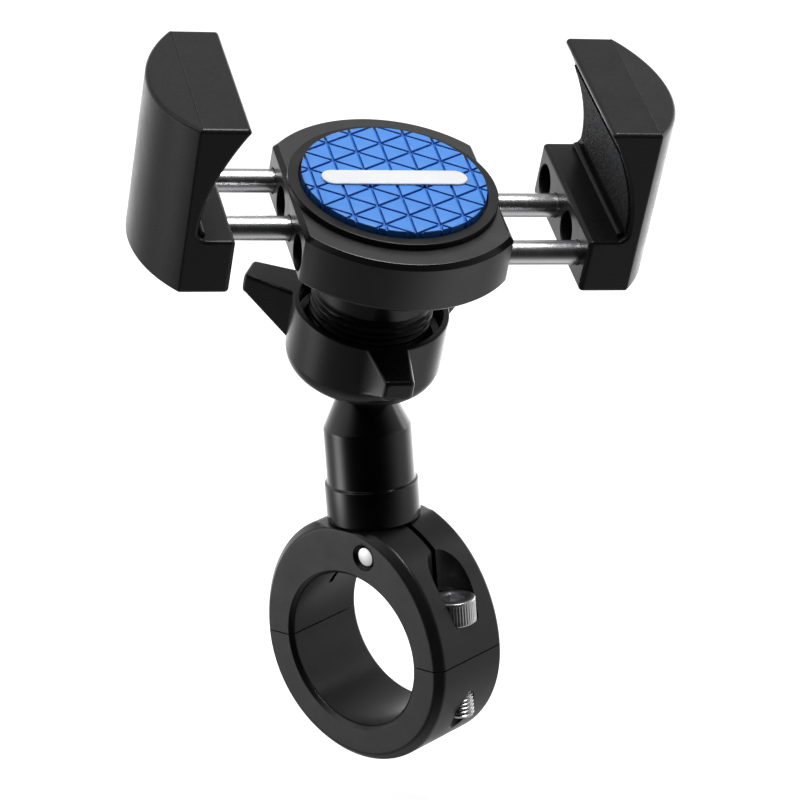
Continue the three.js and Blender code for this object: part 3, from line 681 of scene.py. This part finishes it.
def pad_mesh():
    """A disc with raised triangles; material 0 on the faces on top, 1 in the grooves, a darker blue that paints shade
    there.
    """
    floor = PAD_TOP - DEPTH
    bm = lathe(soften([(0, 0.5), (PAD_R - 0.35, 0.5), (PAD_R - 0.35, floor), (0, floor)], 0.1, 2), 160)
    for f in bm.faces:
        f.material_index = 1 if f.normal.z > 0.5 else 0
    row = SIDE * math.sqrt(3) / 2
    shrink = 1 - (GROOVE / 2) / (SIDE / (2 * math.sqrt(3)))
    for i in range(-4, 4):
        for j in range(-4, 5):
            for base, apex in ((i, i + 1), (i + 1, i)):
                y = (j + (base & 1) / 2) * SIDE
                corners = [(base * row, y), (base * row, y + SIDE), (apex * row, y + SIDE / 2)]
                cx, cy = (2 * base + apex) * row / 3, y + SIDE / 2
                inset = [(cx + (px - cx) * shrink, cy + (py - cy) * shrink) for px, py in corners]
                if area(inset) < 0:
                    inset.reverse()
                shape = tidy(clipped(inset, PAD_R), 0.04)
                if len(shape) < 3 or area(shape) < 0.2:
                    continue
                add_cell(bm, shape, 0.55)
    return bm


def add_cell(bm, shape, floor):
    # Groove walls take material 1, the darker blue of painted shade.
    levels = [(0.0, floor, 1), (0.0, PAD_TOP - 0.14, 1), (0.03, PAD_TOP - 0.04, 0), (0.09, PAD_TOP, 0)]
    rows = [[bm.verts.new((x, y, z)) for x, y in shrunk(shape, inset)] for inset, z, _ in levels]
    n = len(shape)
    for k in range(len(rows) - 1):
        for i in range(n):
            j = (i + 1) % n
            f = bm.faces.new((rows[k][i], rows[k][j], rows[k + 1][j], rows[k + 1][i]))
            f.material_index = levels[k + 1][2]
    bm.faces.new(rows[-1]).material_index = 0
    bm.faces.new(rows[0][::-1]).material_index = 1


piece("grip_pad_blue", pad_mesh(), "holder", [BLUE, GROOVE_SHADE_BLUE], ["grip_pad"], HOLDER, smooth=50,
      weighted=False)


def stadium(length, width, steps=16):
    r, half = width / 2, length / 2 - width / 2
    return [(side * (half + r * math.cos(a)), side * r * math.sin(a))
            for side in (1, -1) for a in [-math.pi / 2 + math.pi * i / steps for i in range(steps + 1)]]


bar = loft([[(x, y, z) for x, y in stadium(28.5 - 2 * e, 4.6 - 2 * e)]
            for e, z in ((0.06, 2.52), (0, 2.58), (0, 2.76), (0.06, 2.87), (0.2, 2.94), (0.45, 2.95))])
piece("pad_bar_white", bar, "holder", WHITE, ["pad_bar"], HOLDER, smooth=60)

# ------------------------------------------------------------------ ball joint

NECK_TOP, THREAD_TOP, THREAD_END, FINGER_END = -THICK - 0.02, -22.8, -32.0, -41.0
outer = soften([(0, NECK_TOP), (11.8, NECK_TOP), (11.8, -22.6), (11.2, THREAD_TOP), (11.2, THREAD_TOP - 0.3)], 0.3)
inner = [(9.65 * math.cos(math.radians(t)), -BALL_TO_FACE + 9.65 * math.sin(math.radians(t)))
         for t in range(-11, 91, 3)]
low = [(11.2, THREAD_END), (10.9, THREAD_END - 1), (10.9, FINGER_END + 0.5), (10.4, FINGER_END)]
socket = temporary(lathe(outer + low + inner[:-1] + [(0, -BALL_TO_FACE + 9.65)], 144))
screw_thread = shifted(threaded(12.0, 0.75, 1.5, THREAD_END, THREAD_TOP, 144, 10))
join(socket, screw_thread)
cut(socket, lathe([(0, -45)] + [(0.02 + 9.65 * math.cos(math.radians(t)), -BALL_TO_FACE + 9.65 * math.sin(math.radians(t)))
                                for t in range(-30, 90, 4)] + [(0, -BALL_TO_FACE + 9.65)], 120))
for i in range(6):
    cut(socket, turned(block(0, 20, -0.6, 0.6, -50, -34), 60 * i))
piece("ball_socket_body", socket, "holder", SOCKET_METAL, ["ball_socket"], HOLDER)


def shell(low_deg, high_deg, nodes, name, body):
    count = 28
    arc = [math.radians(low_deg + (high_deg - low_deg) * i / count) for i in range(count + 1)]
    out = [(9.45 * math.cos(a), -BALL_TO_FACE + 9.45 * math.sin(a)) for a in arc]
    back = [(8.62 * math.cos(a), -BALL_TO_FACE + 8.62 * math.sin(a)) for a in arc[::-1]]
    if high_deg == 90:
        out[-1], back[0] = (0, out[-1][1]), (0, back[0][1])
        bm = lathe(back + out, 96)
    else:
        bm = lathe(out + back + [out[0]], 96)
    return piece(name, bm, body, PALE_PLASTIC, nodes, HOLDER)


shell(19, 90, ["ball_seat_upper"], "ball_seat_cup", "upper_seat")
shell(-9, 6, ["ball_seat_lower"], "ball_seat_band", "lower_seat")
ring = lathe(soft_ring([(11.15, -40.6), (11.6, -40.6), (12.4, -39.8), (12.4, -35.4), (11.15, -35.4)], 0.2), 120)
piece("compression_ring_body", ring, "ring", PALE_PLASTIC, ["compression_ring"], HOLDER)

# ------------------------------------------------------------------ locking collar

BOTTOM, RIM = span("locking_collar", UP, FACE)
COLLAR_R, RECESS_R, RECESS = 15.35, 14.2, 5.0
REACH = -span("locking_collar", ALONG, FACE)[0]
TIP_HALF, TIP_ROUND = 3.0, 0.8


def wing(angle):
    """One wing, running out along X, with every edge rounded."""
    def section(x, half, z0, z1, r):
        outline = rounded([(half, z0), (half, z1), (-half, z1), (-half, z0)], r, 5)
        return [(x, y, z) for y, z in outline]
    parts = [section(12.6, 5.0, RIM - 12.4, RIM, 0.6)]
    for k in range(9):
        t = k / 8
        parts.append(section(14.2 + (REACH - 15.0) * t, 4.35 - (4.35 - TIP_HALF) * t, RIM - 10.9 + 6.6 * t, RIM,
                             0.7 + 0.2 * t))
    for k in range(1, 6):
        a = math.pi / 2 * k / 5
        inset = TIP_ROUND * (1 - math.cos(a))
        parts.append(section(REACH - TIP_ROUND * (1 - math.sin(a)), TIP_HALF - inset, RIM - 4.3 + inset, RIM - inset, 0.9))
    return turned(loft(parts), angle)


FOOT_ROUND = 4.8
shape = [(0, BOTTOM), (9.3, BOTTOM)]
for k in range(0, 13):
    a = math.pi / 2 * (k / 12 - 1)
    shape.append((COLLAR_R + FOOT_ROUND * (math.cos(a) - 1), BOTTOM + FOOT_ROUND * (math.sin(a) + 1)))
shape += soften([(COLLAR_R, -37), (COLLAR_R, RIM), (COLLAR_R - 1.5, RIM)], 0.35, 4)[1:] + [(0, RIM)]
collar = temporary(lathe(shape, 160))
join(collar, wing(-90), wing(30), wing(150))
hollow_profile = soften([(0, BOTTOM - 1), (9.3, BOTTOM - 1), (9.3, -41.3), (11.6, -41.3), (12.6, -40.3), (12.85, -34),
                         (12.85, RIM - RECESS - 0.6), (RECESS_R, RIM - RECESS), (RECESS_R, RIM + 1), (0, RIM + 1)],
                        0.12, 2)
cut(collar, lathe(hollow_profile, 160))
bevelled(collar, 0.25, 3, 40)
piece("locking_collar_body", collar, "collar", COLLAR_PLASTIC, ["locking_collar"], HOLDER)

# ------------------------------------------------------------------ jaws

FOOT, TOP = span("right_jaw", UP, FACE)
HALF = span("right_jaw", ALONG, FACE)[1]
INNER, OUTER = span("right_jaw", ACROSS, FACE)
BULGE, BACK_FALL, FLOOR, HOLLOW, LIP = 6.8, 0.8, -0.2, 7.3, 0.8
JAW_ROUND, END_ROUND, LEAD, RIDGE = 0.8, 0.65, 0.9, 0.07
DEEP = OUTER - INNER - BULGE


def on_crease(point):
    return abs(point.x - DEEP + 0.4) < 0.02 and point.z > TOP - 0.3


def jaw_outline():
    r = (HALF ** 2 + BULGE ** 2) / (2 * BULGE)
    swing = math.asin(HALF / r)
    arc = [(DEEP + BULGE - r + r * math.cos(a), r * math.sin(a))
           for a in [-swing + 2 * swing * i / 72 for i in range(73)]]
    return [(0, -HALF)] + arc + [(0, HALF)]


def hollow(depth, steps=40):
    bottom, top = 1.6, TOP - LIP
    points = [(0, top)]
    for i in range(1, steps + 1):
        t = i / steps
        points.append((depth * math.sin(t * math.pi / 2) ** 0.9, top + (bottom - top) * t))
    for k in range(1, 8):
        a = math.pi / 2 * k / 8
        points.append((depth - 1.8 + 1.8 * math.cos(a), bottom - (bottom - FLOOR) * math.sin(a)))
    points.append((depth - 1.8, FLOOR))
    return points


def sideways(points, y0, y1):
    """A prism whose outline is (x, z), running along y."""
    return loft([[(x, y0, z) for x, z in points], [(x, y1, z) for x, z in points]])


def blank():
    """The jaw before it is hollowed: a D in plan, its edges rounded and its top falling away at the back."""
    outline = rounded(jaw_outline(), 1.0, 5)
    quarter = [math.pi / 2 * k / 5 for k in range(6)]
    levels = [(JAW_ROUND * (1 - math.sin(a)), FOOT + JAW_ROUND * (1 - math.cos(a))) for a in quarter]
    levels += [(JAW_ROUND * (1 - math.cos(a)), TOP - JAW_ROUND * (1 - math.sin(a))) for a in quarter]
    bm = loft([[(x, y, z) for x, y in shrunk(outline, inset)] for inset, z in levels])
    for x in (DEEP - 0.52, DEEP - 0.4, DEEP - 0.28):
        bmesh.ops.bisect_plane(bm, geom=bm.verts[:] + bm.edges[:] + bm.faces[:], plane_co=(x, 0, 0),
                               plane_no=(1, 0, 0), dist=0.001)
    for v in bm.verts:
        beyond = max(0.0, v.co.x - DEEP + 0.4) / BULGE
        v.co.z -= BACK_FALL * beyond * max(0.0, (v.co.z - FLOOR) / (TOP - FLOOR))
        if on_crease(v.co):
            v.co.z += RIDGE
    return bm


def hollow_tool():
    """What the hollow takes away. It widens at both ends, so that the jaw's edges there come out rounded."""
    lead = [(LEAD - LEAD * math.sin(a), FLOOR - LEAD + LEAD * math.cos(a))
            for a in [math.pi / 2 * k / 5 for k in range(6)]]
    outline = hollow(HOLLOW) + lead + [(-3, FLOOR - LEAD), (-3, TOP - LIP)]
    quarter = [math.pi / 2 * k / 5 for k in range(6)]
    flare = [(END_ROUND * (1 - math.sin(a)), END_ROUND * (1 - math.cos(a))) for a in quarter]
    places = [(-HALF - 2, END_ROUND)]
    places += [(-HALF + along, out) for out, along in flare]
    places += [(HALF - along, out) for out, along in flare[::-1]]
    places += [(HALF + 2, END_ROUND)]
    return loft([[(x, y, z) for x, z in shrunk(outline, out)] for y, out in places])


def jaw(rods, holes):
    obj = temporary(blank())
    cut(obj, hollow_tool())
    bead = lathe(soften([(0, -HALF + 1.4), (0.75, -HALF + 1.4), (0.75, HALF - 1.4), (0, HALF - 1.4)], 0.5), 32)
    join(obj, shifted(moved(bead, Matrix.Rotation(math.pi / 2, 4, "X")), x=HOLLOW - 1.0, z=FLOOR + 0.5))
    recess = [p for p in hollow(HOLLOW + 1.1) if 1.7 < p[1] < 19.6]
    cut(obj, sideways([(0, 19.6)] + recess + [(0, 1.5)], -HALF + 1.2, HALF - 1.2))
    for y in rods:
        cut(obj, along_x(cylinder(2.5, -1, 7, 48), y=y, z=ROD_H), shifted(cylinder(1.65, FOOT - 1, ROD_H, 32), 3.6, y))
    for y in holes:
        cut(obj, along_x(cylinder(3.5, -1, 5.5, 64), y=y, z=ROD_H),
            along_x(lathe([(0, -0.5), (4.1, -0.5), (3.4, 0.35), (0, 0.35)], 64), y=y, z=ROD_H))
    return obj


def lining():
    """A rough sheet over the hollow, its front face pitted and uneven."""
    front = [(x - 0.45, z) for x, z in hollow(HOLLOW, steps=110) if 1.75 < z < 18.7]
    back = [p for p in hollow(HOLLOW + 1, steps=110) if 1.75 < p[1] < 18.7]
    l = HALF - 1.45
    count = 150
    sections = []
    for s in range(count + 1):
        y = -l + 2 * l * s / count
        row = []
        for k, (x, z) in enumerate(front):
            rim = min(1.0, min(k, len(front) - 1 - k, s, count - s) / 3)
            p = Vector((x, y, z))
            lump = noise.noise(p * 1.9) * 0.5 + noise.noise(p * 4.3 + Vector((7, 3, 1))) * 0.5
            row.append((x + rim * (0.16 * lump + 0.02) + 0.12 * (1 - rim), y, z))
        sections.append(row + [(x, y, z) for x, z in back[::-1]])
    return loft(sections)


def grub():
    obj = temporary(threaded(1.5, 0.18, 0.5, FOOT + 0.4, ROD_H - ROD_R - 0.1, 40, 8))
    return cut(obj, hexagon(1.5, FOOT, FOOT + 1.7))


def guide_rod(inner_end, outer_end):
    return along_x(lathe(soften([(0, inner_end), (ROD_R, inner_end), (ROD_R, outer_end), (0, outer_end)], 0.4, 4), 96))


def coil(x0, x1, turns=7, wire=0.33, radius=2.95):
    sections = []
    steps = turns * 40
    for s in range(steps + 1):
        t = s / steps
        a = 2 * math.pi * turns * t
        flat = min(1.0, t * turns, (1 - t) * turns)
        x = x0 + (x1 - x0) * (t if flat >= 1 else t)
        row = []
        for k in range(12):
            b = 2 * math.pi * k / 12
            r = radius + wire * math.cos(b)
            row.append((x + wire * math.sin(b), r * math.cos(a), r * math.sin(a)))
        sections.append(row)
    return loft(sections)


def jaw_side(name, side, rods, holes):
    """Everything on one jaw. It is built for the right jaw and turned half round for the left one."""
    body = name + "_grip"
    direction = ACROSS * side
    opening = span(name + "_jaw", direction, FACE)[0]
    rod_start, rod_end = span("rod_" + name + "_1", direction, FACE)
    spot = HOLDER @ Matrix.Rotation(0 if side > 0 else math.pi, 4, "Z")
    rods, holes = [side * y for y in rods], [side * y for y in holes]
    at = spot @ Matrix.Translation((opening, 0, 0))
    piece(name + "_jaw_body", jaw(rods, holes), body, JAW_PLASTIC, [name + "_jaw"], at, smooth=38,
          crease=on_crease)
    piece(name + "_jaw_lining", lining(), body, LINING, [name + "_jaw_liner"], at, smooth=70,
          weighted=False)
    for k, y in enumerate(rods):
        tag = name + "_" + str(k + 1)
        line = spot @ Matrix.Translation((0, y, ROD_H))
        piece("rod_" + tag + "_body", guide_rod(rod_start, rod_end), body, STEEL, ["rod_" + tag], line)
        stop_at = span("spring_stop_" + tag, direction, FACE)
        stop = along_x(lathe(soft_ring([(2.55, stop_at[0]), (3.2, stop_at[0]), (3.2, stop_at[1]), (2.55, stop_at[1])],
                                       0.15, 2), 64))
        piece("spring_stop_" + tag + "_body", stop, body, SCREW_STEEL, ["spring_stop_" + tag], line)
        piece("grub_screw_" + tag + "_body", grub(), body, DARK_STEEL, ["grub_screw_" + tag],
              at @ Matrix.Translation((3.6, y, 0)))
        first, last = span("spring_" + tag, direction, FACE)
        spring = piece("spring_" + tag + "_body", coil(first + 0.33, last - 0.33), None, SPRING_STEEL,
                       ["spring_" + tag], line, weighted=False)
        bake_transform(spring)


jaw_side("left", -1, LEFT, RIGHT)
jaw_side("right", 1, RIGHT, LEFT)

# ------------------------------------------------------------------ studio

low, high = (Vector(corner) for corner in CAD_BOX)
middle = (low + high) / 2

VIEW_TURN, VIEW_DOWN, VIEW_ROLL = math.radians(42.3), math.radians(17.38), math.radians(4.17)
ahead = Vector((math.cos(VIEW_TURN), math.sin(VIEW_TURN), 0))
look = (ahead * math.cos(VIEW_DOWN) - Vector((0, 0, 1)) * math.sin(VIEW_DOWN)).normalized()
right = look.cross(Vector((0, 0, 1))).normalized()
above = right.cross(look).normalized()


def toward(turn, rise):
    """A direction from the object: turn is 0 straight ahead of the camera and 90 to its right."""
    a, e = math.radians(turn), math.radians(rise)
    return (ahead * math.cos(a) + right * math.sin(a)) * math.cos(e) + Vector((0, 0, 1)) * math.sin(e)


# The soft boxes that the object mirrors: turn, rise, strength, tightness. The camera's own side stays dim.
SOFT_BOXES = [(-45, 10, 0.8, 8), (-20, -8, 1.1, 12), (15, -8, 2.4, 12), (45, 0, 1.9, 14), (0, 48, 0.4, 8),
              (0, 85, 0.5, 8), (-90, 10, 0.4, 8), (-92, -9, 2.4, 34), (-90, -60, 0.4, 8), (90, 0, 0.5, 8),
              (90, -65, 1.0, 8), (-105, 48, 1.6, 22)]


class Backdrop:
    """Nodes shared by the floor and the world: white to the camera, and to everything else a studio with
    soft boxes behind the object and at its sides."""

    def __init__(self, tree, direction):
        self.tree = tree
        self.direction = direction

    def feed(self, socket, value):
        if isinstance(value, bpy.types.NodeSocket):
            self.tree.links.new(value, socket)
        else:
            socket.default_value = value

    def math(self, operation, a, b=0.0, c=0.0):
        n = self.tree.nodes.new("ShaderNodeMath")
        n.operation = operation
        for socket, value in zip(n.inputs, (a, b, c)):
            self.feed(socket, value)
        return n.outputs[0]

    def studio(self):
        """How bright the studio is in this direction."""
        total = 0.0
        for turn, rise, strength, tightness in SOFT_BOXES:
            dot = self.tree.nodes.new("ShaderNodeVectorMath")
            dot.operation = "DOT_PRODUCT"
            self.feed(dot.inputs[0], self.direction)
            self.feed(dot.inputs[1], toward(turn, rise))
            falloff = self.math("MULTIPLY_ADD", dot.outputs["Value"], tightness, -tightness)
            total = self.math("MULTIPLY_ADD", self.math("EXPONENT", falloff), strength, total)
        return total

    def camera_or(self, seen, else_):
        path = self.tree.nodes.new("ShaderNodeLightPath")
        mix = self.tree.nodes.new("ShaderNodeMixShader")
        self.feed(mix.inputs[0], path.outputs["Is Camera Ray"])
        self.feed(mix.inputs[1], else_)
        self.feed(mix.inputs[2], seen)
        return mix.outputs[0]

    def light(self, kind, strength):
        n = self.tree.nodes.new(kind)
        self.feed(n.inputs["Strength"], strength)
        n.inputs["Color"].default_value = (1, 1, 1, 1)
        return n.outputs[0]


floor_mesh = bpy.data.meshes.new("floor")
# Room under the clamp for its lower half, which comes down as its screws are undone.
z = low[2] - JOINTS["lower_clamp_slide"]["range_m"][1] - 0.0005
floor_mesh.from_pydata([(-6, -6, z), (6, -6, z), (6, 6, z), (-6, 6, z)], [], [(0, 1, 2, 3)])
floor = bpy.data.objects.new("floor", floor_mesh)
bpy.context.scene.collection.objects.link(floor)
paint = Graph("floor_paint")
tone = paint.mix(paint.span(paint.noise(3, 3), 0.3, 0.7), (0.5, 0.5, 0.5), (0.52, 0.52, 0.52))
paint.feed(paint.shader.inputs["Base Color"], tone)
paint.feed(paint.shader.inputs["Roughness"], 0.9)
paint.feed(paint.shader.inputs["Specular IOR Level"], 0.0)
paint.feed(paint.shader.inputs["Emission Color"], (1, 1, 1, 1))
paint.feed(paint.shader.inputs["Emission Strength"], 0.84)
incoming = paint.tree.nodes.new("ShaderNodeNewGeometry").outputs["Incoming"]
away = paint.tree.nodes.new("ShaderNodeVectorMath")
away.operation = "SCALE"
away.inputs["Scale"].default_value = -1
paint.feed(away.inputs[0], incoming)
back = Backdrop(paint.tree, away.outputs["Vector"])
glow = back.light("ShaderNodeEmission", back.studio())
surface = back.camera_or(paint.shader.outputs[0], glow)
paint.tree.links.new(surface, paint.tree.nodes["Material Output"].inputs["Surface"])
floor_mesh.materials.append(paint.material)


def area_light(name, direction, distance, size, power, colour=(1, 1, 1)):
    """A soft box shining at the middle of the object from a direction."""
    data = bpy.data.lights.new(name, "AREA")
    data.shape = "RECTANGLE"
    data.size, data.size_y = size
    data.energy = power
    data.color = colour
    obj = bpy.data.objects.new(name, data)
    away = Vector(direction).normalized()
    obj.location = middle + away * distance
    obj.rotation_euler = away.to_track_quat("Z", "Y").to_euler()
    bpy.context.scene.collection.objects.link(obj)
    return obj


area_light("key", Vector((0, 0, 1)) - ahead * 0.15 + right * 0.25, 0.9, (0.5, 0.4), 9)
area_light("right_strip", right * 1.0 + ahead * 0.45 + Vector((0, 0, 0.3)), 0.8, (0.2, 0.7), 0.5)
area_light("edge_strip", Vector((0, 0, 1)) - ahead * 0.45, 0.8, (0.7, 0.1), 0.3)

world = bpy.data.worlds.new("studio")
bpy.context.scene.world = world
world.use_nodes = True
tree = world.node_tree
tree.nodes.clear()
back = Backdrop(tree, tree.nodes.new("ShaderNodeTexCoord").outputs["Generated"])
sky = back.light("ShaderNodeBackground", back.studio())
white = back.light("ShaderNodeBackground", 1.05)
out = tree.nodes.new("ShaderNodeOutputWorld")
tree.links.new(back.camera_or(white, sky), out.inputs["Surface"])

camera_data = bpy.data.cameras.new("camera")
camera_data.sensor_width = 36
camera_data.lens = 36 * 3255 / 800
camera_data.clip_end = 20
camera = bpy.data.objects.new("camera", camera_data)
bpy.context.scene.collection.objects.link(camera)
up = above * math.cos(VIEW_ROLL) + right * math.sin(VIEW_ROLL)
side = look.cross(up).normalized()
aim = (BORE + Vector((16.25, 5.6, 44.15))) * MM
pose = Matrix((side, up, -look)).transposed().to_4x4()
pose.translation = aim - look * 0.657
camera.matrix_world = pose
bpy.context.scene.camera = camera
bpy.context.scene.view_settings.view_transform = "Standard"
bpy.context.scene.view_settings.look = "None"
